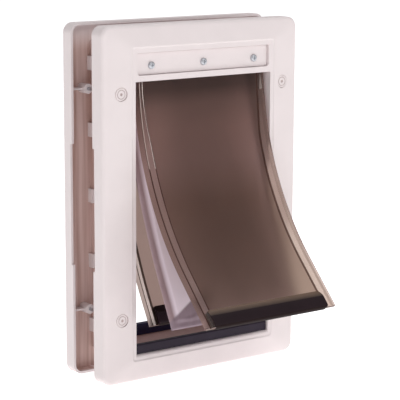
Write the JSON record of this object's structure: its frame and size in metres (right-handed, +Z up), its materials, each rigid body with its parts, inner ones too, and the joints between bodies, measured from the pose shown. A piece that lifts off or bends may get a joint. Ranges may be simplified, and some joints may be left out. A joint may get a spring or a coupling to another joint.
{
  "type": "dog door",
  "caption": "Through-the-door pet door: white frames clamp the door panel, tinted flaps with magnetic bottom bars hang either side of a padded one and swing together.",
  "frame": {"origin": "centre of the frame's outline, on the room side of the door panel, where the interior rim's edge lies", "axes": "+X right as seen from the room, +Y through the door to the outside, +Z up"},
  "size_m": [0.29, 0.2322, 0.43],
  "materials": {
    "frame_white": "matte moulded white",
    "plug_white": "matte moulded white",
    "tinted_vinyl": "smooth tinted flexible vinyl",
    "soft_vinyl": "soft white vinyl over foam",
    "black_bar": "satin black",
    "zinc": "zinc plated"
  },
  "bodies": {
    "frame": {"interior_frame": "frame_white", "exterior_frame": "frame_white", "clamp_bar": "frame_white", "front_spacer": "frame_white", "rear_spacer": "frame_white", "front_flap_root": "tinted_vinyl", "middle_flap_root": "soft_vinyl", "rear_flap_root": "tinted_vinyl", "front_sill_magnet": "black_bar", "rear_sill_magnet": "black_bar", "clamp_screws": "zinc", "frame_screws": "zinc", "screw_plug_upper_left": "plug_white", "screw_plug_upper_right": "plug_white", "screw_plug_lower_left": "plug_white", "screw_plug_lower_right": "plug_white"},
    "front_flap": {"front_flap": "tinted_vinyl", "front_flap_magnet": "black_bar"},
    "middle_flap": {"middle_flap": "soft_vinyl"},
    "rear_flap": {"rear_flap": "tinted_vinyl", "rear_flap_magnet": "black_bar"}
  },
  "joints": [
    {"name": "front_flap_hinge", "type": "hinge", "parent": "frame", "child": "front_flap", "pos_m": [0, -0.01575, 0.14745], "axis": [-1, 0, 0], "range_deg": [-28.1, 50]},
    {"name": "middle_flap_hinge", "type": "hinge", "parent": "frame", "child": "middle_flap", "pos_m": [0, 0.01025, 0.1457], "axis": [-1, 0, 0], "range_deg": [-19.99, 35.57]},
    {"name": "rear_flap_hinge", "type": "hinge", "parent": "frame", "child": "rear_flap", "pos_m": [0, 0.03625, 0.14745], "axis": [-1, 0, 0], "range_deg": [-16.19, 28.8]}
  ],
  "couplings": [
    {"joint": "middle_flap_hinge", "follows": "front_flap_hinge", "ratio": 0.7113},
    {"joint": "rear_flap_hinge", "follows": "front_flap_hinge", "ratio": 0.5761}
  ]
}
